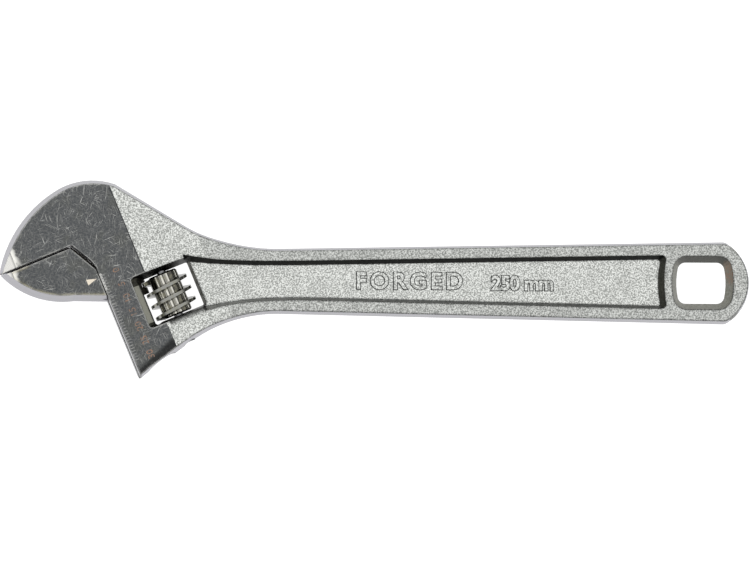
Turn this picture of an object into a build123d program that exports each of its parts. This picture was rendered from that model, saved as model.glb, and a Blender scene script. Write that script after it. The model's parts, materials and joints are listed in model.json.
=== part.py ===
"""Adjustable wrench, 250 mm class, lying flat: forged body, sliding jaw, worm, pin and spring.

Frame: X runs from the jaws to the hanging hole, Z is up through the thickness.  The outline is laid
out with the handle's centre line on X and mid thickness at Z 0, then everything is moved so that the
origin is the centre of the bottom of the whole tool's box.  The head has its own axes: u runs across
the rail, towards the worm, and v runs along the rail, the way the jaw opens.  v is 0 on the fixed
jaw's gripping face.
"""

import math
import os

from build123d import *

# ---- driving dimensions, in millimetres and degrees -------------------------------------------
JAW_ANGLE = 22.5                # gripping faces against the handle
HEAD_ORIGIN = (-93.88, 14.30)   # where u and v are 0, in the handle's axes
HEAD_HALF = 8.0                 # half the thickness across the ground cheeks
TOP_GRIND = 0.04                # how much lower the body's upper cheek is than the sliding jaw's
HANDLE_HALF = 5.0               # half the thickness across the handle's rims
FORGING_DRAFT = 10.0            # draft of the body's outer flanks
JAW_DRAFT = 12.5                # draft under the sliding jaw
GROUND_EDGE_U = 11.3            # the ground cheeks stop here and the forged skin slopes away
NECK_END_U = 38.0               # the slope is down to the handle's thickness here

NECK_HALF_WIDTH, END_HALF_WIDTH = 10.82, 13.72
NECK_X, SHOULDER_X = -31.7, 117.0
END_X, END_RADIUS, END_CORNER = 125.2, 16.6, 3.0

JAW_TIP_U = -33.5
THROAT_U = -7.9                 # inner end of the fixed jaw's face, where the 120 degree throat starts
STRIP_U = -3.2                  # milled edge of the wall that holds the rail
STRIP_END_V = 49.8
JAW_SIDE_PLAY = 0.3             # between the sliding jaw's back and the milled edge
JAW_GAP = 0.25                  # between the gripping faces with the jaw closed
TIP_SLOPE = 0.55                # how fast both jaws thin out towards the tip
FIXED_TIP_U, SLIDING_TIP_U = -27.5, -29.5

RAIL_U = 4.9                    # axis of the rail and of its bore
RAIL_RADIUS, RAIL_PLAY = 5.6, 0.08
RAIL_TOP, RAIL_BOTTOM = -2.45, 24.15
BORE_TOP = -3.05
WEB_HALF, WEB_PLAY = 2.8, 0.12
WEB_TOP, SLOT_TOP = 8.15, 7.65

WORM_U, WORM_V, WORM_LENGTH = 16.65, 27.0, 14.6
WORM_CORE, WORM_CREST = 5.0, 7.5
PITCH = 4.0
CREST_WIDTH, ROOT_WIDTH = 1.0, 2.0
CREST_V = 23.2                 # a crest passes the window's far side here
THREAD_FROM, THREAD_TURNS = -200.0, 3.1
RACK_ROOT_U = 8.8
RACK_PLAY = 0.25                # each side of the worm's thread

PIN_RADIUS, PIN_HEAD_RADIUS = 1.6, 2.0
PIN_TOP, PIN_HEAD_TOP, PIN_BOTTOM = 13.65, 38.15, 44.15
PIN_PLAY = 0.05
SPRING_RADIUS, SPRING_WIRE, SPRING_TURNS = 2.3, 0.6, 4.0
SPRING_POCKET, SPRING_DEPTH = 2.9, 3.6

WINDOW_U, WINDOW_V = (8.2, 25.7), (19.4, 34.6)
WINDOW_LEVELS = [               # height above mid thickness, u from and to, v from and to, corner
    (0.0, *WINDOW_U, *WINDOW_V, 0.5),
    (4.7, 8.2, 27.3, 18.15, 35.1, 1.0),
    (9.0, 4.9, 28.8, 17.2, 35.5, 1.5),
]
RECESS_FLOOR = 2.5              # half thickness of the handle's web
RECESS_DRAFT = 21.0
HOLE_X, HOLE_HALF = (100.8, 117.3), 6.85
HOLE_DRAFT, HOLE_BULGE, HOLE_CORNER = 22.5, 1.0, 2.6

FAR = 300.0                     # longer than the tool

HEAD = Plane(
    origin=(*HEAD_ORIGIN, 0),
    x_dir=(math.cos(math.radians(JAW_ANGLE)), math.sin(math.radians(JAW_ANGLE)), 0),
    z_dir=(0, 0, -1),
)


def head(u, v, z=0.0):
    """A point given in the head's axes, in the handle's axes."""
    return HEAD.from_local_coords((u, v, -z))


def across(u, v, z=0.0):
    """A plane square to the rail, with its x along u, its y up and its normal along v."""
    return Plane(origin=head(u, v, z), x_dir=HEAD.x_dir, z_dir=HEAD.y_dir)


def rod(u, v_from, v_to, radius):
    """A cylinder along v."""
    return extrude(across(u, v_from) * Circle(radius), amount=v_to - v_from)


def head_block(u_from, u_to, v_from, v_to):
    """A block on a rectangle in the head's axes, reaching past both faces."""
    corners = [head(u_from, v_from), head(u_to, v_from), head(u_to, v_to), head(u_from, v_to)]
    return extrude(make_face(Polyline(*corners, close=True)), amount=20, both=True)


def both_sides(shape):
    """A shape standing on mid thickness, and its mirror image below."""
    return shape + mirror(shape, about=Plane.XY)


def cheeks(tip_u, tip_slope):
    """Everything between the two broad faces: sloping tip, flat cheeks, falling neck, flat handle."""
    drop = 12.0
    top = Polyline(
        (tip_u - drop, HEAD_HALF - drop * tip_slope), (tip_u, HEAD_HALF), (GROUND_EDGE_U, HEAD_HALF)
    )
    neck = Spline(
        (GROUND_EDGE_U, HEAD_HALF), (NECK_END_U, HANDLE_HALF),
        tangents=[(1, -0.06), (1, 0)], tangent_scalars=[1.0, 1.0],
    )
    end = Polyline(
        (NECK_END_U, HANDLE_HALF), (FAR, HANDLE_HALF), (FAR, 0), (tip_u - drop, 0),
        (tip_u - drop, HEAD_HALF - drop * tip_slope)
    )
    profile = across(0, -FAR) * make_face([top, neck, end])
    return both_sides(extrude(profile, amount=2 * FAR))


def body_outline():
    """Outline of the forging at mid thickness, with the mouth and the milled edge still solid."""
    tip = head(JAW_TIP_U, 0)
    crown_from, crown_to = head(-3.8, -19.12), head(13.55, -13.57)
    upper_neck, lower_neck = (-62.5, 17.76), (-57.0, -17.4)
    heel = head(STRIP_U, STRIP_END_V)
    slope = (END_HALF_WIDTH - NECK_HALF_WIDTH) / (SHOULDER_X - NECK_X)
    edges = [
        ThreePointArc(tip, head(-19.3, -13.85), crown_from),
        ThreePointArc(crown_from, head(6.2, -17.85), crown_to),
        Line(crown_to, upper_neck),
        Spline(
            upper_neck, (-53, 13.86), (-43, 11.6), (NECK_X, NECK_HALF_WIDTH),
            tangents=[(1, -0.586), (1, slope)],
        ),
        Line((NECK_X, NECK_HALF_WIDTH), (SHOULDER_X, END_HALF_WIDTH)),
        ThreePointArc((SHOULDER_X, END_HALF_WIDTH), (END_X, 0), (SHOULDER_X, -END_HALF_WIDTH)),
        Line((SHOULDER_X, -END_HALF_WIDTH), (NECK_X, -NECK_HALF_WIDTH)),
        Spline(
            (NECK_X, -NECK_HALF_WIDTH), (-44, -12.2), lower_neck, head(9.2, 46.3), heel,
            tangents=[(-1, slope), head(-3, 1) - head(0, 0)],
        ),
        Line(heel, head(STRIP_U - 8, STRIP_END_V)),
        Line(head(STRIP_U - 8, STRIP_END_V), head(JAW_TIP_U, 8)),
        Line(head(JAW_TIP_U, 8), tip),
    ]
    outline = make_face(edges)
    shoulders = outline.vertices().filter_by(lambda p: abs(p.X - SHOULDER_X) < 0.01)
    return fillet(shoulders, END_CORNER)


def mouth():
    """What is ground away between the jaws and beside the milled edge."""
    throat_v = 9.6
    start = (STRIP_U - 1.55, (STRIP_U - 1.55 - THROAT_U) * math.tan(math.radians(60)))
    points = [(THROAT_U - 60, 0), (THROAT_U, 0), start]
    outline = [
        Polyline(*[head(*p) for p in points]),
        ThreePointArc(head(*start), head(STRIP_U - 0.52, 7.7), head(STRIP_U, throat_v)),
        Polyline(
            head(STRIP_U, throat_v), head(STRIP_U, 80), head(THROAT_U - 60, 80),
            head(THROAT_U - 60, 0),
        ),
    ]
    return extrude(make_face(outline), amount=20, both=True)


def window():
    """The worm's window, widening to both faces."""
    sections = []
    for height, u_from, u_to, v_from, v_to, corner in WINDOW_LEVELS:
        middle = head((u_from + u_to) / 2, (v_from + v_to) / 2, height)
        plane = Plane(origin=middle, x_dir=HEAD.x_dir, z_dir=(0, 0, 1))
        sections.append(plane * RectangleRounded(u_to - u_from, v_to - v_from, corner))
    return both_sides(loft(sections, ruled=True))


def hole():
    """The hanging hole: a rectangle with bulging ends, widening to both faces."""
    left, right = HOLE_X[0] + HOLE_BULGE, HOLE_X[1] - HOLE_BULGE
    edges = [
        Line((left, HOLE_HALF), (right, HOLE_HALF)),
        ThreePointArc((right, HOLE_HALF), (HOLE_X[1], 0), (right, -HOLE_HALF)),
        Line((right, -HOLE_HALF), (left, -HOLE_HALF)),
        ThreePointArc((left, -HOLE_HALF), (HOLE_X[0], 0), (left, HOLE_HALF)),
    ]
    outline = make_face(edges)
    outline = fillet(outline.vertices(), HOLE_CORNER)
    return both_sides(extrude(outline, amount=8, taper=-HOLE_DRAFT))


def panel_outline(grow):
    """Outline of the handle's panel at its floor, spread outwards by grow."""
    end_x, narrow_x, start_x = 95.2 + 1.9 * grow, -20.0, -67.0
    end_half, narrow_half = 7.75 + 1.4 * grow, 5.45 + 1.4 * grow
    low_end, low_narrow = 7.75 + grow, 5.45 + grow
    edges = [
        Spline(
            (start_x, 6.75 + 1.4 * grow), (-50, 5.5 + 1.4 * grow), (narrow_x, narrow_half),
            tangents=[(1, -0.1), (1, 0.02)],
        ),
        Line((narrow_x, narrow_half), (end_x, end_half)),
        ThreePointArc((end_x, end_half), (end_x - 0.9, 0), (end_x, -low_end)),
        Line((end_x, -low_end), (narrow_x, -low_narrow)),
        Spline(
            (narrow_x, -low_narrow), (-45, -6.45 - grow), (start_x, -11.5 - 1.05 * grow),
            tangents=[(-1, 0.02), (-1, -0.35)],
        ),
        Line((start_x, -11.5 - 1.05 * grow), (start_x, 6.75 + 1.4 * grow)),
    ]
    outline = make_face(edges)
    corners = outline.vertices().filter_by(lambda p: abs(p.X - end_x) < 0.01)
    return fillet(corners, 0.9 + 0.5 * grow)


def recess():
    """The drafted panels in the handle's two faces, running out into the worm's window."""
    depth = 7.0
    grow = depth * math.tan(math.radians(RECESS_DRAFT))
    floor = Pos(0, 0, RECESS_FLOOR) * panel_outline(0)
    rim = Pos(0, 0, RECESS_FLOOR + depth) * panel_outline(grow)
    panel = loft([floor, rim], ruled=True)
    beyond = head_block(WINDOW_U[1] - 0.7, FAR, -FAR, FAR)
    return both_sides(panel & beyond)


def body():
    """The forging: fixed jaw, head, neck and handle in one piece."""
    forging = both_sides(extrude(body_outline(), amount=9, taper=FORGING_DRAFT))
    forging = forging & cheeks(FIXED_TIP_U, TIP_SLOPE)
    forging -= Pos(0, 0, HEAD_HALF - TOP_GRIND + 5) * Box(2 * FAR, 2 * FAR, 10)
    forging -= mouth()
    forging -= recess()
    forging -= window()
    forging -= hole()
    forging -= rod(RAIL_U, BORE_TOP, FAR / 2, RAIL_RADIUS + RAIL_PLAY)
    slot_half = WEB_HALF + WEB_PLAY
    slot = across(RAIL_U - 8, SLOT_TOP) * Rectangle(16, 2 * slot_half)
    forging -= extrude(slot, amount=FAR / 2)
    forging -= rod(WORM_U, PIN_TOP - 0.1, PIN_HEAD_TOP, PIN_RADIUS + PIN_PLAY)
    forging -= rod(WORM_U, PIN_HEAD_TOP - 0.1, FAR / 2, PIN_HEAD_RADIUS + PIN_PLAY)
    return forging


def jaw_outline():
    """Outline of the sliding jaw at mid thickness, left solid behind its gripping face."""
    back_u = STRIP_U - JAW_SIDE_PLAY
    edges = [
        ThreePointArc(head(JAW_TIP_U, -1), head(-26.7, 9.85), head(-13.85, 17.2)),
        Line(head(-13.85, 17.2), head(back_u + 6, 24.15)),
        Polyline(head(back_u + 6, 24.15), head(back_u + 6, -1), head(JAW_TIP_U, -1)),
    ]
    return make_face(edges)


def jaw_keep():
    """The space the sliding jaw's head may fill, inside its ground faces."""
    back_u = STRIP_U - JAW_SIDE_PLAY
    corner = (THROAT_U - 1.1, JAW_GAP)
    run = (back_u - corner[0]) * math.tan(math.radians(61.5))
    points = [
        (corner[0] - 60, JAW_GAP), corner, (back_u, corner[1] + run), (back_u, 60),
        (corner[0] - 60, 60),
    ]
    outline = Polyline(*[head(*p) for p in points], close=True)
    return extrude(make_face(outline), amount=20, both=True)


def rack_groove():
    """One groove of the rack, at v 0, leaning with the worm's thread."""
    depth = RAIL_U + RAIL_RADIUS + 1.0 - RACK_ROOT_U
    growth = (ROOT_WIDTH - CREST_WIDTH) / (WORM_CREST - WORM_CORE) / 2
    root_half = CREST_WIDTH / 2 + RACK_PLAY
    profile = Polyline(
        (0, -root_half), (depth, -root_half - growth * depth), (depth, root_half + growth * depth),
        (0, root_half), close=True,
    )
    lean = math.degrees(math.atan(PITCH / (2 * math.pi * WORM_CREST)))
    groove = extrude(make_face(profile), amount=12, both=True)
    return Rot(-lean, 0, 0) * groove


def tongue():
    """A lower tongue on the jaw that fills the throat's gap."""
    outline = Polyline(
        head(THROAT_U - 0.2, JAW_GAP + 0.1), head(STRIP_U - 1.88, 5.32), head(STRIP_U - 0.85, 7.6),
        head(STRIP_U - JAW_SIDE_PLAY, 9.7), head(STRIP_U - JAW_SIDE_PLAY, 13), head(-10, 13),
        head(-10, JAW_GAP + 0.1), close=True,
    )
    return extrude(make_face(outline), amount=WEB_HALF, both=True)


def movable_jaw():
    """Sliding jaw, its web and its rail with the rack, in one piece."""
    jaw = both_sides(extrude(jaw_outline(), amount=9, taper=JAW_DRAFT))
    jaw = jaw & cheeks(SLIDING_TIP_U, TIP_SLOPE) & jaw_keep()
    web = make_face(Polyline(
        head(RAIL_U, WEB_TOP), head(-6, WEB_TOP + 1.5), head(-6, 19.35), head(-3.5, 21.45),
        head(RAIL_U, 23.15), close=True,
    ))
    web = extrude(web, amount=WEB_HALF, both=True) & (rod(RAIL_U, 0, 40, 12) + jaw)
    jaw += web + tongue()
    jaw += rod(RAIL_U, RAIL_TOP, RAIL_BOTTOM, RAIL_RADIUS)
    near_v = CREST_V - PITCH / 2
    for number in range(7):
        place = Plane(
            origin=head(RACK_ROOT_U, near_v - number * PITCH), x_dir=HEAD.x_dir, z_dir=(0, 0, -1)
        )
        jaw -= place.location * rack_groove()
    return jaw


def thread():
    """The worm's right-handed thread, starting at v 0, made of four ruled faces and two ends."""
    inner, outer = WORM_CORE - 0.4, WORM_CREST
    height = PITCH * THREAD_TURNS
    corners = [
        (inner, -ROOT_WIDTH / 2),
        (outer, -CREST_WIDTH / 2),
        (outer, CREST_WIDTH / 2),
        (inner, ROOT_WIDTH / 2),
    ]
    lines = [Helix(PITCH, height, radius, center=(0, 0, rise)) for radius, rise in corners]
    faces = [
        Face.make_surface_from_curves(line, lines[(number + 1) % 4]) for number, line in enumerate(lines)
    ]
    for end in (0, 1):
        faces.append(make_face(Polyline(*[line @ end for line in lines], close=True)).faces()[0])
    return Solid(Shell(faces))


def worm():
    """Adjusting worm: round core, thin tall thread, through bore and a pocket for the spring."""
    start_v = WORM_V - WORM_LENGTH / 2
    core = Cylinder(WORM_CORE, WORM_LENGTH, align=(Align.CENTER, Align.CENTER, Align.MIN))
    core = chamfer(core.edges().filter_by(GeomType.CIRCLE), 0.5)
    fin_v = CREST_V + PITCH * THREAD_FROM / 360 - start_v
    piece = core + Pos(0, 0, fin_v) * Rot(0, 0, THREAD_FROM) * thread()
    piece -= Cylinder(PIN_RADIUS + 0.08, 80)
    piece -= Cylinder(SPRING_POCKET, 2 * SPRING_DEPTH)
    return across(WORM_U, start_v).location * piece


def worm_pin():
    """The worm's axle: a screw let in from the heel, with a slotted end."""
    pin = rod(WORM_U, PIN_TOP, PIN_HEAD_TOP + 0.1, PIN_RADIUS)
    pin += rod(WORM_U, PIN_HEAD_TOP + 0.1, PIN_BOTTOM, PIN_HEAD_RADIUS)
    slot = across(WORM_U, PIN_BOTTOM - 0.8) * Rot(0, 0, 35) * Rectangle(8, 0.7)
    return pin - extrude(slot, amount=4)


def worm_spring():
    """Compression spring between the window's wall and the worm, round the pin."""
    start_v = WINDOW_V[0] + SPRING_WIRE / 2 + 0.05
    end_v = WORM_V - WORM_LENGTH / 2 + SPRING_DEPTH - SPRING_WIRE / 2 - 0.05
    length = end_v - start_v
    coil = Helix(length / SPRING_TURNS, length, SPRING_RADIUS)
    wire = Plane(origin=(SPRING_RADIUS, 0, 0), x_dir=(1, 0, 0), z_dir=(0, 1, 0)) * Circle(SPRING_WIRE / 2)
    return across(WORM_U, start_v).location * sweep(wire, path=coil, is_frenet=True)


def main():
    """Build every piece, set the tool on the floor and write one file per piece."""
    os.makedirs("parts", exist_ok=True)
    pieces = {
        "body": body(),
        "movable_jaw": movable_jaw(),
        "worm": worm(),
        "worm_pin": worm_pin(),
        "worm_spring": worm_spring(),
    }
    boxes = [piece.bounding_box() for piece in pieces.values()]
    low_x, high_x = min(b.min.X for b in boxes), max(b.max.X for b in boxes)
    low_y, high_y = min(b.min.Y for b in boxes), max(b.max.Y for b in boxes)
    rest = Pos(-(low_x + high_x) / 2, -(low_y + high_y) / 2, -min(b.min.Z for b in boxes))
    for name, piece in pieces.items():
        export_step(rest * piece, f"parts/{name}.step")
        print(name, len(piece.solids()), round(piece.volume, 1), piece.is_valid)
    print("shift", rest.position)


if __name__ == "__main__":
    main()
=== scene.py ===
"""Looks for a 250 mm adjustable wrench that lies flat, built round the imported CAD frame.

Each sub-assembly is a class that dresses its CAD nodes and adds the small pieces that ride on them.
Each finish is a frozen dataclass that builds one procedural material.  Everything is in metres,
except where a name or a comment says millimetres.  The head has its own axes: u across the rail,
towards the worm, and v along the rail, the way the jaw opens.  v is 0 on the fixed jaw's face.
"""

import json
import logging
import math
from dataclasses import dataclass
from enum import Enum
from typing import Any, List, Sequence, Tuple

import bpy
from mathutils import Matrix, Vector

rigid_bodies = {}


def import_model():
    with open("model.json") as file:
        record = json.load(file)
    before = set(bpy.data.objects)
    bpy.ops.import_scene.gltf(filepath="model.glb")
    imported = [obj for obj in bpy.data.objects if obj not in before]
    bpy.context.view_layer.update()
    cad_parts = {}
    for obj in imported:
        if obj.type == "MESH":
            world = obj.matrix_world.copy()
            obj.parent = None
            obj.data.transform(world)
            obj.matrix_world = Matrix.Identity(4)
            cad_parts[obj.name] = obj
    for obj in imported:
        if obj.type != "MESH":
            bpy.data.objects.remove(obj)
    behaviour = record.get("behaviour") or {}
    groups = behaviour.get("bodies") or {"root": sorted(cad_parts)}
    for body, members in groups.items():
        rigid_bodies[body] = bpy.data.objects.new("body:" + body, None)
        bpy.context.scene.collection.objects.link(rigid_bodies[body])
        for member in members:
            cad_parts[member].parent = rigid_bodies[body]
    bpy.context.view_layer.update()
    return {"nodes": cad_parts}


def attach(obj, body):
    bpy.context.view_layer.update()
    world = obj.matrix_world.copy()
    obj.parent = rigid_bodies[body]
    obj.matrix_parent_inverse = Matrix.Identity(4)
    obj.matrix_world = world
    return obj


logging.basicConfig(level=logging.INFO, format="%(message)s")
LOG = logging.getLogger("wrench")

MM = 0.001
MIDDLE_Z = 8.0  # mid thickness above the floor, in millimetres
FLAT = 0.9995  # the ground cheeks' normals stand at least this upright
SMOOTH = {"interpolation_type": "SMOOTHSTEP"}
Color = Tuple[float, float, float, float]


# ---- shared helpers ---------------------------------------------------------------------------


def srgb(code: str) -> Color:
    """Turn an sRGB hex colour into linear RGBA.

    Args:
        code: Six hex digits.

    Returns:
        Linear red, green, blue and an alpha of 1.
    """
    values = [int(code[i : i + 2], 16) / 255 for i in (0, 2, 4)]
    linear = [c / 12.92 if c <= 0.04045 else ((c + 0.055) / 1.055) ** 2.4 for c in values]
    return (linear[0], linear[1], linear[2], 1.0)


@dataclass(frozen=True)
class HeadFrame:
    """The head's own axes, laid over the row frame.

    Attributes:
        angle: Angle of the gripping faces against the handle, in degrees.
        origin: Where u and v are 0, in millimetres in the row frame.
    """

    angle: float = 22.5
    origin: Tuple[float, float] = (-94.065, 13.9205)

    def at(self, u: float, v: float, z: float = 0.0) -> Vector:
        """Place a point given in the head's axes.

        Args:
            u: Millimetres across the rail.
            v: Millimetres along the rail.
            z: Millimetres above the floor.

        Returns:
            The point in metres in the row frame.
        """
        cos, sin = math.cos(math.radians(self.angle)), math.sin(math.radians(self.angle))
        x = self.origin[0] + u * cos + v * sin
        y = self.origin[1] + u * sin - v * cos
        return Vector((x, y, z)) * MM


HEAD = HeadFrame()


class Nodes:
    """A node tree under construction."""

    def __init__(self, tree: bpy.types.NodeTree) -> None:
        """Start on an empty tree.

        Args:
            tree: The tree to fill.
        """
        self.tree = tree
        tree.nodes.clear()

    def add(self, kind: str, *values: Any, out: Any = 0, **settings: Any) -> Any:
        """Add one node with its settings and links.

        Args:
            kind: The node's type name.
            *values: Values or sockets for the first inputs, in order.  The last may be a
                dictionary of an input's name or number to its value or socket.
            out: Name or number of the output to hand back.
            **settings: Properties set on the node.

        Returns:
            The output's socket, or None for a node without outputs.
        """
        node = self.tree.nodes.new(kind)
        for name, value in settings.items():
            setattr(node, name, value)
        named = values[-1] if values and isinstance(values[-1], dict) else {}
        listed = values[:-1] if named else values
        for key, value in [*enumerate(listed), *named.items()]:
            if isinstance(value, bpy.types.NodeSocket):
                self.tree.links.new(value, node.inputs[key])
            else:
                node.inputs[key].default_value = value
        return node.outputs[out] if len(node.outputs) else None


@dataclass
class Surface:
    """What one region of a material looks like, as sockets or plain values.

    Attributes:
        color: Base colour.
        roughness: Roughness, 0 to 1.
        height: Relief, 0 to 1.
    """

    color: Any
    roughness: Any
    height: Any = 0.5


def cover(nodes: Nodes, base: Surface, top: Surface, mask: Any) -> Surface:
    """Lay one surface over another where a mask is 1.

    Args:
        nodes: The tree to add to.
        base: What shows where the mask is 0.
        top: What shows where the mask is 1.
        mask: The mask's socket.

    Returns:
        The joined surface.
    """
    colors = {0: mask, 6: base.color, 7: top.color}
    color = nodes.add("ShaderNodeMix", colors, out=2, data_type="RGBA")
    rough = nodes.add("ShaderNodeMix", mask, {2: base.roughness, 3: top.roughness})
    height = nodes.add("ShaderNodeMix", mask, {2: base.height, 3: top.height})
    return Surface(color, rough, height)


def tint(nodes: Nodes, base: Any, code: str, mask: Any, share: float) -> Any:
    """Lay a thin film of one colour over another.

    Args:
        nodes: The tree to add to.
        base: The colour's socket, or a colour.
        code: The film's sRGB hex colour.
        mask: Where the film lies.
        share: How much of the film shows where the mask is 1.

    Returns:
        The joined colour's socket.
    """
    share_here = nodes.add("ShaderNodeMath", mask, share, operation="MULTIPLY")
    colors = {0: share_here, 6: base, 7: srgb(code)}
    return nodes.add("ShaderNodeMix", colors, out=2, data_type="RGBA")


class Place:
    """Object coordinates in millimetres, and the measures that the finishes share."""

    def __init__(self, nodes: Nodes) -> None:
        """Read the coordinates.

        Args:
            nodes: The tree to add to.
        """
        self.nodes = nodes
        coords = nodes.add("ShaderNodeTexCoord", out="Object")
        self.mm = nodes.add("ShaderNodeVectorMath", coords, {"Scale": 1 / MM}, operation="SCALE")
        self.x, self.y, self.z = (
            nodes.add("ShaderNodeSeparateXYZ", self.mm, out=axis) for axis in range(3)
        )
        origin = (*HEAD.origin, 0.0)
        moved = nodes.add("ShaderNodeVectorMath", self.mm, origin, operation="SUBTRACT")
        turned = nodes.add(
            "ShaderNodeVectorRotate",
            {"Vector": moved, "Angle": -math.radians(HEAD.angle)},
            rotation_type="Z_AXIS",
        )
        self.u = nodes.add("ShaderNodeSeparateXYZ", turned, out=0)
        down = nodes.add("ShaderNodeSeparateXYZ", turned, out=1)
        self.v = nodes.add("ShaderNodeMath", down, -1.0, operation="MULTIPLY")
        self.normal = nodes.add("ShaderNodeNewGeometry", out="True Normal")
        up = nodes.add("ShaderNodeSeparateXYZ", self.normal, out=2)
        self.up = nodes.add("ShaderNodeMath", up, operation="ABSOLUTE")
        self.lift = nodes.add("ShaderNodeMath", self.z, MIDDLE_Z, operation="SUBTRACT")
        self.out_of_middle = nodes.add("ShaderNodeMath", self.lift, operation="ABSOLUTE")

    def within(self, *limits: Tuple[Any, Any, Any]) -> Any:
        """Find a region bounded by straight limits.

        Args:
            *limits: Socket, lower limit and upper limit; None leaves a side open.

        Returns:
            1 inside every limit and 0 outside.
        """
        add, found = self.nodes.add, None
        for socket, low, high in limits:
            for bound, test in ((low, "GREATER_THAN"), (high, "LESS_THAN")):
                if bound is None:
                    continue
                side = add("ShaderNodeMath", socket, bound, operation=test)
                if found is not None:
                    side = add("ShaderNodeMath", found, side, operation="MULTIPLY")
                found = side
        return found

    def scratches(
        self, angle: float, length: float, width: float, share: float, seed: float
    ) -> Any:
        """Fine, nearly straight scratches that run one way.

        Args:
            angle: Direction in degrees.
            length: Typical length in millimetres.
            width: Typical width in millimetres.
            share: Share of the noise that counts as a scratch.
            seed: Shifts the pattern.

        Returns:
            1 in a scratch and 0 elsewhere.
        """
        add = self.nodes.add
        slow = {"Vector": self.mm, "Scale": 0.12, "Detail": 1.0}
        wavy = add("ShaderNodeTexNoise", slow, out="Color")
        bent = add("ShaderNodeVectorMath", wavy, (3.0, 3.0, 0.0), self.mm, operation="MULTIPLY_ADD")
        turn = {"Vector": bent, "Angle": -math.radians(angle)}
        turned = add("ShaderNodeVectorRotate", turn, rotation_type="Z_AXIS")
        stretch = (1 / length, 1 / width, 0.0)
        spread = {"Vector": turned, "Location": (seed, -seed, 0.0), "Scale": stretch}
        spread = add("ShaderNodeMapping", spread)
        value = add("ShaderNodeTexNoise", {"Vector": spread, "Scale": 1.0})
        border = 0.06
        return add("ShaderNodeMapRange", value, 1 - share, 1 + border - share, **SMOOTH)

    def edges(self, reach: float) -> Any:
        """Find the sharp edges of a piece, where handling rubs the surface and painted light and
        shade go.

        Args:
            reach: How far the mask reaches from the edge, in millimetres.

        Returns:
            1 on an edge and 0 away from it.
        """
        add = self.nodes.add
        soft = add("ShaderNodeBevel", reach * MM, samples=4)
        same = add("ShaderNodeVectorMath", soft, self.normal, out="Value", operation="DOT_PRODUCT")
        return add("ShaderNodeMapRange", same, 0.998, 0.93, **SMOOTH)


def finish_metal(nodes: Nodes, surface: Surface, bump_mm: float, soft_mm: Any) -> None:
    """Join a surface to a metal shader and the tree's output.

    Args:
        nodes: The tree to add to.
        surface: Colour, roughness and height.
        bump_mm: Height in millimetres that a height of 1 stands for.
        soft_mm: Radius of the broken edges in millimetres, a number or a socket.
    """
    radius = nodes.add("ShaderNodeMath", soft_mm, MM, operation="MULTIPLY")
    soft = nodes.add("ShaderNodeBevel", radius, samples=4)
    relief = {"Strength": 1.0, "Distance": bump_mm * MM, "Height": surface.height, "Normal": soft}
    normal = nodes.add("ShaderNodeBump", relief)
    look = {
        "Base Color": surface.color,
        "Metallic": 1.0,
        "Roughness": surface.roughness,
        "Normal": normal,
    }
    nodes.add("ShaderNodeOutputMaterial", nodes.add("ShaderNodeBsdfPrincipled", look))


def new_material(name: str) -> Tuple[bpy.types.Material, Nodes]:
    """Make an empty material with nodes.

    Args:
        name: The material's name.

    Returns:
        The material and its node tree.
    """
    material = bpy.data.materials.new(name)
    material.use_nodes = True
    return material, Nodes(material.node_tree)


# ---- finishes ---------------------------------------------------------------------------------


@dataclass(frozen=True)
class GroundSteel:
    """Carbon steel, surface ground, then knocked about: dark satin grey under pale scratches.

    Attributes:
        dark: Colour of the ground steel.
        pale: Colour where it is scuffed.
        oil: Warm film of old oil.
        bright: Colour of a fresh scratch or a rubbed edge, and of painted highlights on edges.
        passes: Direction of each pass of scratches in degrees, then their typical length and
            width in millimetres.
        scratched: Share of the surface that a pass may scratch.
    """

    dark: str = "4d4f51"
    pale: str = "7c7d7b"
    oil: str = "626358"
    bright: str = "cfcfcb"
    passes: Tuple[Tuple[float, float, float], ...] = (
        (68, 6, 0.3), (112, 5, 0.26), (20, 6, 0.3), (152, 5, 0.26), (88, 9, 0.26),
    )
    scratched: float = 0.375

    def surface(self, nodes: Nodes, place: Place) -> Surface:
        """Colour, roughness and height of ground steel.

        Args:
            nodes: The tree to add to.
            place: Shared coordinates.

        Returns:
            The surface.
        """
        add = nodes.add
        # scuffs 0.5 to 1 mm across, close together: the eye sees a restless, finely mottled grey
        mottle = {"Vector": place.mm, "Scale": 1.5, "Detail": 4.0, "Roughness": 0.7}
        fine = add("ShaderNodeTexNoise", mottle)
        scuff = add("ShaderNodeMapRange", fine, 0.38, 0.68, **SMOOTH)
        color = tint(nodes, srgb(self.dark), self.pale, scuff, 0.55)
        broad = add("ShaderNodeTexNoise", {"Vector": place.mm, "Scale": 0.16, "Detail": 2.0})
        film = add("ShaderNodeMapRange", broad, 0.5, 0.66, **SMOOTH)
        color = tint(nodes, color, self.oil, film, 0.2)
        # scratches under 0.3 mm wide in five directions, each pass kept to its own patches: they
        # tell the eye that the grey is bare ground metal, long in use
        marks: Any = 0.0
        for number, (angle, length, width) in enumerate(self.passes):
            lines = place.scratches(angle, length, width, self.scratched, 3.1 + 14.6 * number)
            cloud = {"Vector": place.mm, "W": 5.0 * number, "Scale": 0.2, "Detail": 1.0}
            where = add("ShaderNodeTexNoise", cloud, noise_dimensions="4D")
            patch = add("ShaderNodeMapRange", where, 0.42, 0.6, **SMOOTH)
            lines = add("ShaderNodeMath", lines, patch, operation="MULTIPLY")
            marks = add("ShaderNodeMath", marks, lines, operation="MAXIMUM")
        color = tint(nodes, color, self.bright, marks, 0.62)
        rough = add("ShaderNodeMapRange", scuff, 0.0, 1.0, 0.36, 0.46)
        height = add("ShaderNodeMath", scuff, 0.3, operation="MULTIPLY")
        height = add("ShaderNodeMath", height, marks, operation="SUBTRACT")
        return Surface(color, rough, height)


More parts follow.
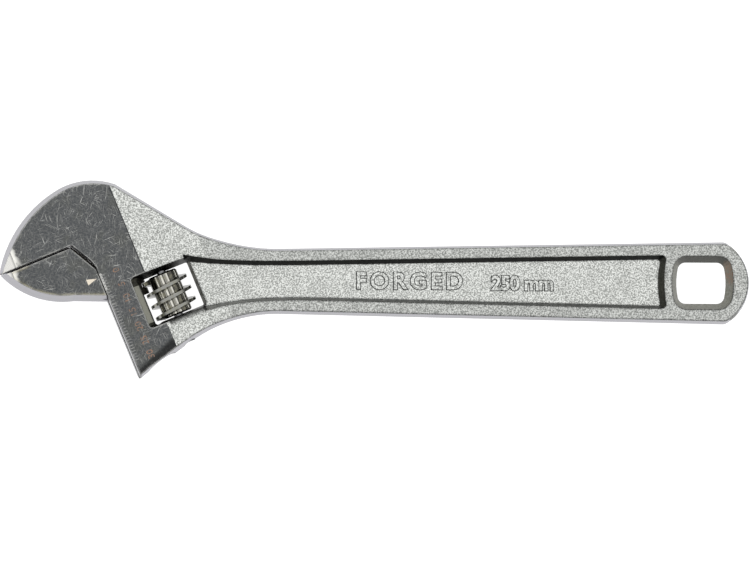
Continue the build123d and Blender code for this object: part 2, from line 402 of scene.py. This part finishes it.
@dataclass(frozen=True)
class ForgedChrome:
    """Satin chrome over a shot-blasted forged skin: pale silver, fine pebbles with dark pits.

    Attributes:
        silver: Colour of the plated skin.
        pit: Colour in the pits.
        grain: Size of the pebbles in millimetres.
    """

    silver: str = "eff1ed"
    pit: str = "6a6c68"
    grain: float = 0.46

    def surface(self, nodes: Nodes, place: Place) -> Surface:
        """Colour, roughness and height of the plated forging.

        Args:
            nodes: The tree to add to.
            place: Shared coordinates.

        Returns:
            The surface.
        """
        add = nodes.add
        # pebbles under 0.5 mm with pits between them: a fine salt-and-pepper grain to the eye
        grains = {"Vector": place.mm, "Scale": 1 / self.grain, "Detail": 2.0, "Roughness": 0.6}
        pebble = add("ShaderNodeTexNoise", grains)
        pits = add("ShaderNodeMapRange", pebble, 0.63, 0.37, **SMOOTH)
        color = tint(nodes, srgb(self.silver), self.pit, pits, 0.8)
        cloud = add("ShaderNodeTexNoise", {"Vector": place.mm, "Scale": 0.2, "Detail": 2.0})
        cloud = add("ShaderNodeMapRange", cloud, 0.42, 0.68, **SMOOTH)
        color = tint(nodes, color, self.pit, cloud, 0.12)
        return Surface(color, 0.3, pebble)


@dataclass(frozen=True)
class BeltedFlank:
    """Flanks linished on a belt after forging: smooth, light lavender grey, faint lines along them.

    Attributes:
        grey: Main colour.
        line: Colour of the belt's lines.
        dull: Painted shade on the flank that faces away from the heel.
    """

    grey: str = "9f9ea3"
    line: str = "8e8d93"
    dull: str = "6c6c71"

    def surface(self, nodes: Nodes, place: Place) -> Surface:
        """Colour, roughness and height of a belted flank.

        Args:
            nodes: The tree to add to.
            place: Shared coordinates.

        Returns:
            The surface.
        """
        add = nodes.add
        # lines 0.3 mm apart in height and very long, which draw the eye along the flank
        spread = add("ShaderNodeMapping", {"Vector": place.mm, "Scale": (0.1, 0.1, 3.0)})
        lines = add("ShaderNodeTexNoise", {"Vector": spread, "Scale": 1.0})
        color = tint(nodes, srgb(self.grey), self.line, lines, 1.0)
        # painted shade on the flank facing away from the heel sets its thin flank off from the top
        # face
        away = add("ShaderNodeSeparateXYZ", place.normal, out=1)
        away = add("ShaderNodeMapRange", away, 0.2, 0.9, **SMOOTH)
        color = tint(nodes, color, self.dull, away, 0.4)
        return Surface(color, 0.35, add("ShaderNodeMath", lines, 0.15, operation="MULTIPLY"))


@dataclass(frozen=True)
class PocketScale:
    """Forging scale in drafted pockets no belt reaches: dark walls, painted shade and light, a
    touch of rust.

    Attributes:
        scale: Colour of the walls.
        flake: Colour of the flakes on them.
        soot: Colour of the painted shade on the walls, by where they face.
        clean: Painted light on the window's wall beside the opening scale.
        rust: Colour of the rust.
        rust_spot: Middle of the rusty patch in the hanging hole, in millimetres.
        soot_end_x: Where the panel ends and the hanging hole starts, in millimetres.
        clean_u: That wall's limits along u, in millimetres.
        clean_v: That wall's limits along v, in millimetres.
    """

    scale: str = "6e6e64"
    flake: str = "93938d"
    soot: str = "191a1a"
    clean: str = "c3c3b8"
    rust: str = "80593f"
    rust_spot: Tuple[float, float, float] = (118.4, 3.2, 11.0)
    soot_end_x: float = 98.0
    clean_u: Tuple[float, float] = (5.5, 12.5)
    clean_v: Tuple[float, float] = (20.6, 33.6)

    def surface(self, nodes: Nodes, place: Place) -> Surface:
        """Colour, roughness and height of a pocket's wall.

        Args:
            nodes: The tree to add to.
            place: Shared coordinates.

        Returns:
            The surface.
        """
        add = nodes.add
        # scale flakes 0.7 mm across, which keep the walls from looking machined
        grain = add("ShaderNodeTexNoise", {"Vector": place.mm, "Scale": 1.4, "Roughness": 0.6})
        flakes = add("ShaderNodeMapRange", grain, 0.35, 0.7, **SMOOTH)
        color = tint(nodes, srgb(self.scale), self.flake, flakes, 0.6)
        # painted shade on the walls, by where they face: it draws the panel's dark frame
        panel, hanging = (None, self.soot_end_x), (self.soot_end_x, None)
        for facing, (start_x, end_x), full, share in (
            ((0.0, -1.0, 0.0), panel, 0.7, 0.97),
            ((0.0, 1.0, 0.0), panel, 0.7, 0.88),
            ((-1.0, 0.0, 0.0), panel, 0.7, 0.45),
            ((0.0, -1.0, 0.0), hanging, 0.8, 0.7),
        ):
            shaded = {0: place.normal, 1: facing}
            shaded = add("ShaderNodeVectorMath", shaded, out="Value", operation="DOT_PRODUCT")
            shaded = add("ShaderNodeMapRange", shaded, 0.3, full, **SMOOTH)
            here = place.within((place.x, start_x, end_x))
            shaded = add("ShaderNodeMath", shaded, here, operation="MULTIPLY")
            color = tint(nodes, color, self.soot, shaded, share)
        # the window's wall beside the opening scale is matt, with painted light that makes it pale
        # and a little warm
        clean = place.within((place.u, *self.clean_u), (place.v, *self.clean_v))
        color = tint(nodes, color, self.clean, clean, 0.85)
        rough = add("ShaderNodeMapRange", clean, 0.0, 1.0, 0.42, 0.85)
        # a brown bloom of rust in one corner of the hanging hole, strongest on the flakes
        rusty = {0: place.mm, 1: self.rust_spot}
        rusty = add("ShaderNodeVectorMath", rusty, out="Value", operation="DISTANCE")
        rusty = add("ShaderNodeMapRange", rusty, 5.0, 2.4, **SMOOTH)
        rusty = add("ShaderNodeMath", rusty, flakes, operation="MULTIPLY")
        color = tint(nodes, color, self.rust, rusty, 0.8)
        return Surface(color, rough, grain)


@dataclass(frozen=True)
class Stains:
    """Colours of what wear and use leave on the wrench's steel, and of the light and shade painted
    on it.

    Attributes:
        polished: The tips' rubbed cheeks, with a painted highlight.
        slope: Painted highlight on the tips' sloping faces.
        oiled: Painted shade on the jaw's rail and tongue, which never see daylight.
        grind_end: Painted shade on the line where the cheek's grinding stops.
        dried_oil: Cream tint along the jaw's outer edge.
        paint: The pointer.
        filings: Painted shade along the heel.
        rim: Film on the handle's rims.
        grease: Painted shadow beside the worm.
        outline: Painted shade along the forging's edges.
    """

    polished: str = "f1f0ea"
    slope: str = "f4f3ee"
    oiled: str = "35322e"
    grind_end: str = "2f3031"
    dried_oil: str = "b5ab84"
    paint: str = "e6dccb"
    filings: str = "1b1b1b"
    rim: str = "4d4f4e"
    grease: str = "191918"
    outline: str = "161717"


MARKS_AND_LIGHT = Stains()


@dataclass(frozen=True)
class WrenchSteel:
    """The steel of the body or the jaw: ground cheeks, belted flanks, and plated skin if forged.

    Attributes:
        name: The material's name.
        forged: Whether part of the piece keeps its plated forged skin.
        tip_u: Where the cheek ends and the tip's slope starts, in millimetres along u.
    """

    name: str
    forged: bool = True
    tip_u: float = -27.5

    def build(self) -> bpy.types.Material:
        """Make the material.

        Returns:
            The material.
        """
        material, nodes = new_material(self.name)
        add = nodes.add
        place = Place(nodes)
        ground = GroundSteel().surface(nodes, place)
        flank = BeltedFlank().surface(nodes, place)
        edge = place.edges(1.0)
        # the ground cheek is dead flat, so anything that leans is another surface
        on_cheek = place.within((place.up, FLAT, None), (place.out_of_middle, 7.8, None))
        radius: Any = 0.25
        if self.forged:
            # the cheek ends on a straight line, which steps aside a little at the heel
            cheek_end = add("ShaderNodeMapRange", place.v, 35.0, 37.4, 11.2, 11.6, **SMOOTH)
            beside = place.within((place.u, None, cheek_end))
            on_cheek = add("ShaderNodeMath", on_cheek, beside, operation="MULTIPLY")
            base = self._forged(nodes, place, flank, edge)
            radius = add("ShaderNodeMix", on_cheek, {2: 0.6, 3: 0.3})
        else:
            # painted shade on the rail and the tongue, so the gap beside the jaw looks deep
            rail = place.within((place.u, -3.4, None))
            tongue = place.within(
                (place.out_of_middle, None, 3.0), (place.u, -10.5, None), (place.v, None, 17.0)
            )
            hidden = add("ShaderNodeMath", rail, tongue, operation="MAXIMUM")
            base = cover(nodes, flank, Surface(srgb(MARKS_AND_LIGHT.oiled), 0.4), hidden)
        # painted highlight on the tips' sloping faces, from the cheek's colour to near white
        # towards the tip
        slope = place.within((place.up, 0.75, FLAT), (place.u, None, self.tip_u + 0.3))
        blend = add("ShaderNodeMapRange", place.u, self.tip_u + 0.5, self.tip_u - 1.0, **SMOOTH)
        bright = tint(nodes, ground.color, MARKS_AND_LIGHT.slope, blend, 0.97)
        base = cover(nodes, base, Surface(bright, 0.25), slope)
        marked = self._cheek_marks(nodes, place, ground.color, edge)
        cheek = Surface(marked, ground.roughness, ground.height)
        finish_metal(nodes, cover(nodes, base, cheek, on_cheek), 0.035, radius)
        return material

    def _cheek_marks(self, nodes: Nodes, place: Place, color: Any, edge: Any) -> Any:
        """What use and wear leave on a ground cheek.

        Args:
            nodes: The tree to add to.
            place: Shared coordinates.
            color: The ground steel's colour.
            edge: 1 on sharp edges.

        Returns:
            The cheek's colour.
        """
        add = nodes.add
        patch = add("ShaderNodeTexNoise", {"Vector": place.mm, "Scale": 0.25, "Detail": 2.0})
        patch = add("ShaderNodeMapRange", patch, 0.36, 0.56, 0.25, 1.0, **SMOOTH)
        # painted highlight on the tip, over steel rubbed bright, a little past its slope, with a
        # ragged border
        ragged = add("ShaderNodeMath", patch, 1.5, operation="MULTIPLY")
        ragged = add("ShaderNodeMath", place.u, ragged, operation="SUBTRACT")
        polished = add("ShaderNodeMapRange", ragged, self.tip_u + 0.9, self.tip_u - 1.2, **SMOOTH)
        color = tint(nodes, color, MARKS_AND_LIGHT.polished, polished, 0.92)
        if self.forged:
            # painted shade, a dark line 0.4 mm wide where the grinding stops, sets the cheek off
            # from the skin
            line = place.within((place.u, 10.8, None), (place.v, None, 35.2))
            color = tint(nodes, color, MARKS_AND_LIGHT.grind_end, line, 0.7)
            # a painted highlight along a stretch of the milled edge beside the jaw's back
            edge_glint = place.within((place.u, -3.3, -2.4), (place.v, 12.2, 18.2))
            color = tint(nodes, color, GroundSteel().bright, edge_glint, 0.7)
            # painted shade darkens the cheek along the heel's edge, which is straight in plan
            heel = {0: place.mm, 1: (-0.683, 0.73, 0.0)}
            heel = add("ShaderNodeVectorMath", heel, out="Value", operation="DOT_PRODUCT")
            heel = add("ShaderNodeMapRange", heel, 33.1, 31.2, **SMOOTH)
            color = tint(nodes, color, MARKS_AND_LIGHT.filings, heel, 0.8)
        else:
            # a cream tint along the jaw's outer edge, in patches
            bloom = add("ShaderNodeMath", place.edges(1.6), patch, operation="MULTIPLY")
            aside = add("ShaderNodeMath", place.u, -0.9, place.v, operation="MULTIPLY_ADD")
            outer = place.within((aside, 22.0, None))
            bloom = add("ShaderNodeMath", bloom, outer, operation="MULTIPLY")
            color = tint(nodes, color, MARKS_AND_LIGHT.dried_oil, bloom, 0.7)
            color = tint(nodes, color, MARKS_AND_LIGHT.paint, self._pointer(nodes, place), 0.95)
        # edges rubbed bright, with a painted highlight, all round the window and in patches
        # elsewhere
        near_window = place.within((place.u, 2.0, 11.0), (place.v, 17.5, 38.0))
        patch = add("ShaderNodeMath", patch, near_window, operation="MAXIMUM")
        narrow = add("ShaderNodeMapRange", edge, 0.8, 1.0, **SMOOTH)
        rubbed = add("ShaderNodeMath", narrow, patch, operation="MULTIPLY")
        return tint(nodes, color, GroundSteel().bright, rubbed, 0.65)

    def _pointer(self, nodes: Nodes, place: Place) -> Any:
        """A small painted triangle, 3.4 mm long, whose tip points at the scale.

        Args:
            nodes: The tree to add to.
            place: Shared coordinates.

        Returns:
            1 on the triangle.
        """
        base_u, middle_v, half_width, taper, top = -7.8, 13.35, 1.02, 0.3, 15.9
        across = nodes.add("ShaderNodeMath", place.u, base_u, operation="SUBTRACT")
        along = nodes.add("ShaderNodeMath", place.v, middle_v, operation="SUBTRACT")
        along = nodes.add("ShaderNodeMath", along, operation="ABSOLUTE")
        side = nodes.add("ShaderNodeMath", across, -taper, half_width, operation="MULTIPLY_ADD")
        return place.within((along, None, side), (across, 0.0, None), (place.z, top, None))

    def _forged(self, nodes: Nodes, place: Place, flank: Surface, edge: Any) -> Surface:
        """Forged skin on the broad faces, belted flanks outside, scale on the pockets' walls.

        Args:
            nodes: The tree to add to.
            place: Shared coordinates.
            flank: The belted flanks' surface.
            edge: 1 on sharp edges.

        Returns:
            The surface of everything but the cheeks.
        """
        add = nodes.add
        skin = ForgedChrome().surface(nodes, place)
        # the handle's rims are a shade darker than the panel and the neck
        rim = place.within((place.up, 0.99, None), (place.out_of_middle, 4.9, 5.3))
        skin.color = tint(nodes, skin.color, MARKS_AND_LIGHT.rim, rim, 0.24)
        # painted shadow under the worm, black, on the skin at the window's heel end
        worm_shadow = add("ShaderNodeMapRange", place.v, 37.6, 35.6, **SMOOTH)
        beside = place.within((place.u, 12.5, 26.0), (place.v, 34.0, None))
        worm_shadow = add("ShaderNodeMath", worm_shadow, beside, operation="MULTIPLY")
        skin.color = tint(nodes, skin.color, MARKS_AND_LIGHT.grease, worm_shadow, 0.85)
        steep = add("ShaderNodeMapRange", place.up, 0.86, 0.72, **SMOOTH)
        pocket = PocketScale().surface(nodes, place)
        walls = cover(nodes, flank, pocket, self._inside(nodes, place))
        both = cover(nodes, skin, walls, steep)
        # painted shade along the forging's edges draws each face's outline, heavier on the heel's
        # side
        heavy = add("ShaderNodeMapRange", place.y, 4.0, -4.0, 0.6, 0.95)
        outline = add("ShaderNodeMath", edge, heavy, operation="MULTIPLY")
        both.color = tint(nodes, both.color, MARKS_AND_LIGHT.outline, outline, 1.0)
        return both

    def _inside(self, nodes: Nodes, place: Place) -> Any:
        """Find the walls of the panels, the window and the hanging hole.

        Args:
            nodes: The tree to add to.
            place: Shared coordinates.

        Returns:
            1 on those walls.
        """
        width = nodes.add("ShaderNodeMapRange", place.x, -30.0, 118.0, 9.6, 12.2)
        middle = nodes.add("ShaderNodeMath", place.y, 0.4, operation="ADD")
        middle = nodes.add("ShaderNodeMath", middle, operation="ABSOLUTE")
        handle = place.within((middle, None, width), (place.x, -64.0, 121.0))
        window = place.within(
            (place.u, -2.6, 29.5), (place.v, 12.0, 37.5), (place.x, None, -45.0)
        )
        return nodes.add("ShaderNodeMath", handle, window, operation="MAXIMUM")


@dataclass(frozen=True)
class PolishedNickel:
    """Bright nickel-chrome on turned steel: mirror-like, a little warm, painted shade between the
    fins.

    Attributes:
        tone: Colour of the root.
        streak: Colour of the painted dark reflection bars on the root.
        dirt: Thin film over everything.
        grime: Painted shade on the fins' sides.
        crest: Colour of the fins' crests, greyer than the root.
        axis_u: The worm's axis along u, in millimetres.
        root: Radius of the root, in millimetres.
        crest_from: Radius where the crests start, in millimetres.
        facets: Number of flats round the root.
    """

    tone: str = "e6e4da"
    streak: str = "33322d"
    dirt: str = "8d8a76"
    grime: str = "1f1e1c"
    crest: str = "989893"
    axis_u: float = 16.65
    root: float = 5.2
    crest_from: float = 7.2
    facets: int = 10

    def build(self) -> bpy.types.Material:
        """Make the material.

        Returns:
            The material.
        """
        material, nodes = new_material("nickel_chrome_turned")
        add = nodes.add
        place = Place(nodes)
        across = add("ShaderNodeMath", place.u, self.axis_u, operation="SUBTRACT")
        spoke = add("ShaderNodeCombineXYZ", across, place.lift)
        radius = add("ShaderNodeVectorMath", spoke, out="Value", operation="LENGTH")
        turn = add("ShaderNodeMath", place.lift, across, operation="ARCTAN2")
        # flats 3 mm wide round the root: they break the mirror into soft bright and dark bars
        wave = add("ShaderNodeMath", turn, self.facets / 2, operation="MULTIPLY")
        wave = add("ShaderNodeMath", wave, operation="SINE")
        wave = add("ShaderNodeMath", wave, operation="ABSOLUTE")
        root = add("ShaderNodeMapRange", radius, self.root + 0.1, self.root - 0.1, **SMOOTH)
        height = add("ShaderNodeMath", wave, root, operation="MULTIPLY")
        # painted dark reflections lie in uneven bars along the axis, so that the bars differ from
        # each other
        ring = add("ShaderNodeVectorMath", spoke, operation="NORMALIZE")
        streak = add("ShaderNodeTexNoise", {"Vector": ring, "Scale": 3.4, "Detail": 2.0})
        streak = add("ShaderNodeMapRange", streak, 0.42, 0.54, **SMOOTH)
        color = tint(nodes, srgb(self.tone), self.streak, streak, 0.92)
        # painted shade, black, on the fins' sides and grey crests, so that each fin stands out from
        # the root
        sides = place.within((radius, self.root, self.crest_from))
        color = tint(nodes, color, self.grime, sides, 0.9)
        color = tint(nodes, color, self.crest, place.within((radius, self.crest_from, None)), 1.0)
        dirt = add("ShaderNodeTexNoise", {"Vector": place.mm, "Scale": 0.7, "Detail": 3.0})
        dirt = add("ShaderNodeMapRange", dirt, 0.46, 0.66, **SMOOTH)
        color = tint(nodes, color, self.dirt, dirt, 0.55)
        finish_metal(nodes, Surface(color, 0.2, height), 0.3, 0.12)
        return material


@dataclass(frozen=True)
class PlainSteel:
    """Turned or drawn steel, oiled: mid grey with a soft gloss.

    Attributes:
        name: The material's name.
        tone: Main colour.
        oil: Colour of the oil's clouds.
    """

    name: str
    tone: str = "a3a4a6"
    oil: str = "707173"

    def build(self) -> bpy.types.Material:
        """Make the material.

        Returns:
            The material.
        """
        material, nodes = new_material(self.name)
        place = Place(nodes)
        # clouds of oil 1 mm across, which keep the small parts from looking new
        cloud = nodes.add("ShaderNodeTexNoise", {"Vector": place.mm, "Scale": 1.0, "Detail": 3.0})
        color = tint(nodes, srgb(self.tone), self.oil, cloud, 1.0)
        finish_metal(nodes, Surface(color, 0.3, cloud), 0.01, 0.1)
        return material


@dataclass(frozen=True)
class WornInk:
    """Ink left in a shallow stamping, rubbed away in patches down to the steel.

    Attributes:
        name: The material's name.
        tone: The ink's colour.
        worn: Colour where it is rubbed away.
    """

    name: str
    tone: str
    worn: str

    def build(self) -> bpy.types.Material:
        """Make the material.

        Returns:
            The material.
        """
        material, nodes = new_material(self.name)
        place = Place(nodes)
        # patches 1 mm across, so that parts of each mark look half gone
        worn = {"Vector": place.mm, "Scale": 1.1, "Detail": 3.0, "Roughness": 0.6}
        patch = nodes.add("ShaderNodeTexNoise", worn)
        patch = nodes.add("ShaderNodeMapRange", patch, 0.4, 0.62, **SMOOTH)
        color = tint(nodes, srgb(self.tone), self.worn, patch, 0.9)
        shader = nodes.add("ShaderNodeBsdfPrincipled", {"Base Color": color, "Roughness": 0.6})
        nodes.add("ShaderNodeOutputMaterial", shader)
        return material


@dataclass(frozen=True)
class LetterChrome:
    """Raised forged letters: tops blasted and plated like the panel, sides dark.

    Attributes:
        side: Colour of the leaning sides.
    """

    side: str = "2b2c2c"

    def build(self) -> bpy.types.Material:
        """Make the material.

        Returns:
            The material.
        """
        material, nodes = new_material("satin_chrome_letters")
        place = Place(nodes)
        skin = ForgedChrome().surface(nodes, place)
        # dark sides draw each letter's outline, since its top is the panel's own colour
        leaning = nodes.add("ShaderNodeMapRange", place.up, 0.97, 0.85, **SMOOTH)
        skin.color = tint(nodes, skin.color, self.side, leaning, 0.95)
        finish_metal(nodes, skin, 0.035, 0.1)
        return material


# ---- sub-assemblies ---------------------------------------------------------------------------


def dress(node: bpy.types.Object, material: bpy.types.Material) -> None:
    """Give a node one material.

    Args:
        node: The node's object.
        material: The material.
    """
    node.data.materials.clear()
    node.data.materials.append(material)


def frozen(holder: bpy.types.Object, name: str, place: Matrix) -> bpy.types.Object:
    """Turn a curve or a generated object into a plain mesh whose place is in its vertices.

    Args:
        holder: The object to read; it is removed.
        name: The new object's name.
        place: Where it goes, in metres.

    Returns:
        The new object, linked to the scene.
    """
    bpy.context.view_layer.update()
    shown = holder.evaluated_get(bpy.context.evaluated_depsgraph_get())
    mesh = bpy.data.meshes.new_from_object(shown)
    holder.modifiers.clear()
    bpy.data.objects.remove(holder)
    mesh.transform(place)
    piece = bpy.data.objects.new(name, mesh)
    bpy.context.scene.collection.objects.link(piece)
    return piece


@dataclass(frozen=True)
class Words:
    """Solid lettering.

    Attributes:
        name: The object's name.
        text: What it says.
        size: Height of the letters' body in millimetres.
        depth: Half the thickness in millimetres.
        bevel: Width of the leaning sides in millimetres.
        bold: How much the strokes are thickened on each side, in millimetres.
        spacing: Room between the letters, 1 being the font's own.
    """

    name: str
    text: str
    size: float
    depth: float
    bevel: float = 0.0
    bold: float = 0.0
    spacing: float = 1.0

    def build(self, place: Matrix) -> bpy.types.Object:
        """Make the lettering.

        Args:
            place: Where its middle goes, in metres.

        Returns:
            The new object.
        """
        curve = bpy.data.curves.new(self.name, "FONT")
        curve.body, curve.size = self.text, self.size * MM
        curve.extrude, curve.bevel_depth = self.depth * MM, self.bevel * MM
        curve.offset = self.bold * MM
        curve.space_character = self.spacing
        curve.resolution_u, curve.bevel_resolution = 4, 0
        curve.align_x, curve.align_y = "CENTER", "CENTER"
        holder = bpy.data.objects.new(self.name + "_text", curve)
        bpy.context.scene.collection.objects.link(holder)
        return frozen(holder, self.name, place)


@dataclass
class OpeningScale:
    """The millimetre scale on the head's cheek: a tick at each one and a number at each fifth.

    Attributes:
        top: Height of the cheek above the floor, in millimetres.
        film: Half the thickness of the ink, in millimetres.
        zero_v: Where the scale starts along v.
        travel: How far it runs, in millimetres.
        tick_u: Middle of the ticks along u.
        tick_length: Length of a tick.
        tick_width: Width of a tick.
        number_u: Middle of the numbers along u.
        number_size: Height of the numbers' body.
        tick_ink: What fills the ticks.
        number_ink: What fills the numbers.
    """

    top: float = 15.96
    film: float = 0.008
    zero_v: float = 13.05
    travel: int = 30
    tick_u: float = -2.25
    tick_length: float = 1.4
    tick_width: float = 0.3
    number_u: float = 2.67
    number_size: float = 3.1
    tick_ink: WornInk = WornInk("stamping_ink_grey", "8d8d8a", "727374")
    number_ink: WornInk = WornInk("stamping_ink_copper", "967159", "66605a")

    def build(self) -> List[bpy.types.Object]:
        """Make the ticks and the numbers.

        Returns:
            The new objects.
        """
        ink = self.number_ink.build()
        pieces = [self._ticks()]
        for value in range(0, self.travel + 1, 5):
            pieces.append(self._number(value))
            dress(pieces[-1], ink)
        return pieces

    def _ticks(self) -> bpy.types.Object:
        """Ticks, repeated along v by Geometry Nodes.

        Returns:
            One mesh of all the ticks.
        """
        tree = bpy.data.node_groups.new("scale_ticks", "GeometryNodeTree")
        sizes = {
            "Count": self.travel + 1,
            "Pitch": MM,
            "Length": self.tick_length * MM,
            "Width": self.tick_width * MM,
            "Film": 2 * self.film * MM,
        }
        keys = {}
        for name, value in sizes.items():
            kind = "NodeSocketInt" if isinstance(value, int) else "NodeSocketFloat"
            given_in = tree.interface.new_socket(name, in_out="INPUT", socket_type=kind)
            keys[name] = given_in.identifier
        tree.interface.new_socket("Geometry", in_out="OUTPUT", socket_type="NodeSocketGeometry")
        nodes = Nodes(tree)
        add = nodes.add
        given = {name: add("NodeGroupInput", out=name) for name in sizes}
        step = add("ShaderNodeCombineXYZ", {1: given["Pitch"]})
        row = add("GeometryNodeMeshLine", {"Count": given["Count"], "Offset": step})
        size = add("ShaderNodeCombineXYZ", given["Length"], given["Width"], given["Film"])
        tick = add("GeometryNodeMeshCube", {"Size": size})
        copies = add("GeometryNodeInstanceOnPoints", {"Points": row, "Instance": tick})
        real = add("GeometryNodeRealizeInstances", copies)
        inked = {"Geometry": real, "Material": self.tick_ink.build()}
        add("NodeGroupOutput", add("GeometryNodeSetMaterial", inked))
        holder = bpy.data.objects.new("ticks_maker", bpy.data.meshes.new("ticks_maker"))
        maker = holder.modifiers.new("ticks", "NODES")
        maker.node_group = tree
        for name, value in sizes.items():
            maker[keys[name]] = value
        bpy.context.scene.collection.objects.link(holder)
        start = HEAD.at(self.tick_u, self.zero_v, self.top + self.film)
        turn = Matrix.Rotation(math.radians(HEAD.angle) + math.pi, 4, "Z")
        return frozen(holder, "scale_ticks", Matrix.Translation(start) @ turn)

    def _number(self, value: int) -> bpy.types.Object:
        """One number, read from the heel with the mouth ahead.

        Args:
            value: The number.

        Returns:
            The number's mesh.
        """
        turn = Matrix.Rotation(math.radians(HEAD.angle + 90), 4, "Z")
        spot = HEAD.at(self.number_u, self.zero_v + value, self.top + self.film)
        words = Words(f"scale_number_{value}", str(value), self.number_size, self.film)
        return words.build(Matrix.Translation(spot) @ turn)


@dataclass
class Body:
    """The forging, its scale and the raised lettering in its panel.

    Attributes:
        panel_top: Height of the panel's floor above the table, in millimetres.
        words: Raised words, each with its middle along and across the handle in millimetres.
    """

    panel_top: float = 10.5
    words: Tuple[Tuple[Words, float, float], ...] = (
        (Words("raised_words", "FORGED", 7.7, 0.1, 0.28, 0.16, 1.3), 11.0, -0.45),
        (Words("raised_size", "250 mm", 6.6, 0.1, 0.28, 0.18, 0.94), 48.8, -1.0),
    )

    def build(self, node: bpy.types.Object) -> None:
        """Dress the body and add its scale and lettering.

        Args:
            node: The body's CAD node.
        """
        dress(node, WrenchSteel("forged_steel_satin_chrome").build())
        pieces = OpeningScale().build()
        letters = LetterChrome().build()
        for words, x, y in self.words:
            pieces.append(words.build(Matrix.Translation(Vector((x, y, self.panel_top)) * MM)))
            dress(pieces[-1], letters)
        for piece in pieces:
            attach(piece, "wrench_body")
        LOG.info("body: %d added pieces", len(pieces))


@dataclass
class Jaw:
    """The sliding jaw with its rail.

    Attributes:
        tip_u: Where the cheek ends and the tip's slope starts, in millimetres along u.
    """

    tip_u: float = -29.5

    def build(self, node: bpy.types.Object) -> None:
        """Dress the jaw.

        Args:
            node: The jaw's CAD node.
        """
        dress(node, WrenchSteel("ground_steel_jaw", False, self.tip_u).build())
        LOG.info("jaw dressed")


@dataclass
class Adjuster:
    """The worm with the pin it turns on and the spring that holds it still."""

    def build(
        self, worm: bpy.types.Object, pin: bpy.types.Object, spring: bpy.types.Object
    ) -> None:
        """Dress the worm, its pin and its spring.

        Args:
            worm: The worm's CAD node.
            pin: The pin's CAD node.
            spring: The spring's CAD node.
        """
        dress(worm, PolishedNickel().build())
        dress(pin, PlainSteel("turned_steel_pin").build())
        dress(spring, PlainSteel("drawn_spring_wire", "8f9092").build())
        LOG.info("adjuster dressed")


# ---- studio -----------------------------------------------------------------------------------


class Softbox(Enum):
    """Soft lights: place and size in metres, then power in watts."""

    KEY = ((-0.25, 0.8, 0.9), 0.7, 5.0)
    FILL = ((0.6, -0.5, 0.9), 0.5, 1.2)


@dataclass
class Studio:
    """A pale light table, a soft tent and a camera almost straight above.

    Attributes:
        distance: From the camera to the tool's middle, in metres.
        span: Width of the view at that distance, in metres.
        roll: Turn of the view, in degrees.
        lean: How far the camera stands off the vertical towards +X and +Y, in degrees.
        middle: Point the camera looks at, in metres.
    """

    distance: float = 2.5
    span: float = 0.2491
    roll: float = 0.26
    lean: Tuple[float, float] = (-4.9, -2.3)
    middle: Tuple[float, float, float] = (-0.000185, -0.00011, 0.008)

    def build(self) -> None:
        """Make the table, the lights, the surroundings and the camera."""
        self._table()
        self._surroundings()
        for box in Softbox:
            self._light(box)
        self._camera()
        scene = bpy.context.scene
        scene.view_settings.view_transform = "Standard"
        scene.view_settings.look = "None"

    def _table(self) -> None:
        """A wide pale table top, lit from below so that the tool's own shade doesn't grey it."""
        mesh = bpy.data.meshes.new("table_top")
        reach = 3.0
        corners = [(-reach, -reach, 0), (reach, -reach, 0), (reach, reach, 0), (-reach, reach, 0)]
        mesh.from_pydata(corners, [], [(0, 1, 2, 3)])
        table = bpy.data.objects.new("table_top", mesh)
        bpy.context.scene.collection.objects.link(table)
        material, nodes = new_material("opal_light_table")
        look = {
            "Base Color": srgb("8c8c8c"),
            "Roughness": 0.9,
            "Emission Color": srgb("ffffff"),
            "Emission Strength": 1.0,
        }
        nodes.add("ShaderNodeOutputMaterial", nodes.add("ShaderNodeBsdfPrincipled", look))
        mesh.materials.append(material)

    def _surroundings(self) -> None:
        """White light tent overhead that ends in dark surroundings near the table."""
        world = bpy.data.worlds.new("studio")
        world.use_nodes = True
        bpy.context.scene.world = world
        nodes = Nodes(world.node_tree)
        way = nodes.add("ShaderNodeTexCoord", out="Generated")
        height = nodes.add("ShaderNodeSeparateXYZ", way, out=2)
        level = nodes.add("ShaderNodeMapRange", height, 0.12, 0.62, 0.03, 1.0, **SMOOTH)
        sky = nodes.add("ShaderNodeBackground", {"Color": srgb("ffffff"), "Strength": level})
        nodes.add("ShaderNodeOutputWorld", sky)

    def _light(self, box: Softbox) -> None:
        """One soft light that points at the tool.

        Args:
            box: Which light.
        """
        spot, size, power = box.value
        lamp = bpy.data.lights.new(box.name.lower(), "AREA")
        lamp.shape, lamp.size, lamp.energy = "SQUARE", size, power
        holder = bpy.data.objects.new(lamp.name, lamp)
        holder.location = spot
        holder.rotation_euler = (-Vector(spot)).to_track_quat("-Z", "Y").to_euler()
        bpy.context.scene.collection.objects.link(holder)

    def _camera(self) -> None:
        """A camera nearly above the tool, a few degrees towards the jaws and the heel."""
        lens = bpy.data.cameras.new("camera")
        lens.sensor_width = 36.0
        lens.lens = lens.sensor_width * self.distance / self.span
        lens.clip_start, lens.clip_end = 0.05, 10.0
        holder = bpy.data.objects.new("camera", lens)
        aside = [math.sin(math.radians(angle)) for angle in self.lean]
        back = Vector((*aside, math.sqrt(1 - aside[0] ** 2 - aside[1] ** 2)))
        turn = math.radians(self.roll)
        up = back.cross(Vector((math.cos(turn), math.sin(turn), 0))).normalized()
        axes = Matrix((up.cross(back), up, back)).transposed()
        spot = Vector(self.middle) + back * self.distance
        holder.matrix_world = Matrix.Translation(spot) @ axes.to_4x4()
        bpy.context.scene.collection.objects.link(holder)
        bpy.context.scene.camera = holder


def main() -> None:
    """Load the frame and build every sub-assembly."""
    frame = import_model()
    nodes = frame["nodes"]
    Body().build(nodes["body"])
    Jaw().build(nodes["movable_jaw"])
    Adjuster().build(nodes["worm"], nodes["worm_pin"], nodes["worm_spring"])
    Studio().build()


if __name__ == "__main__":
    main()
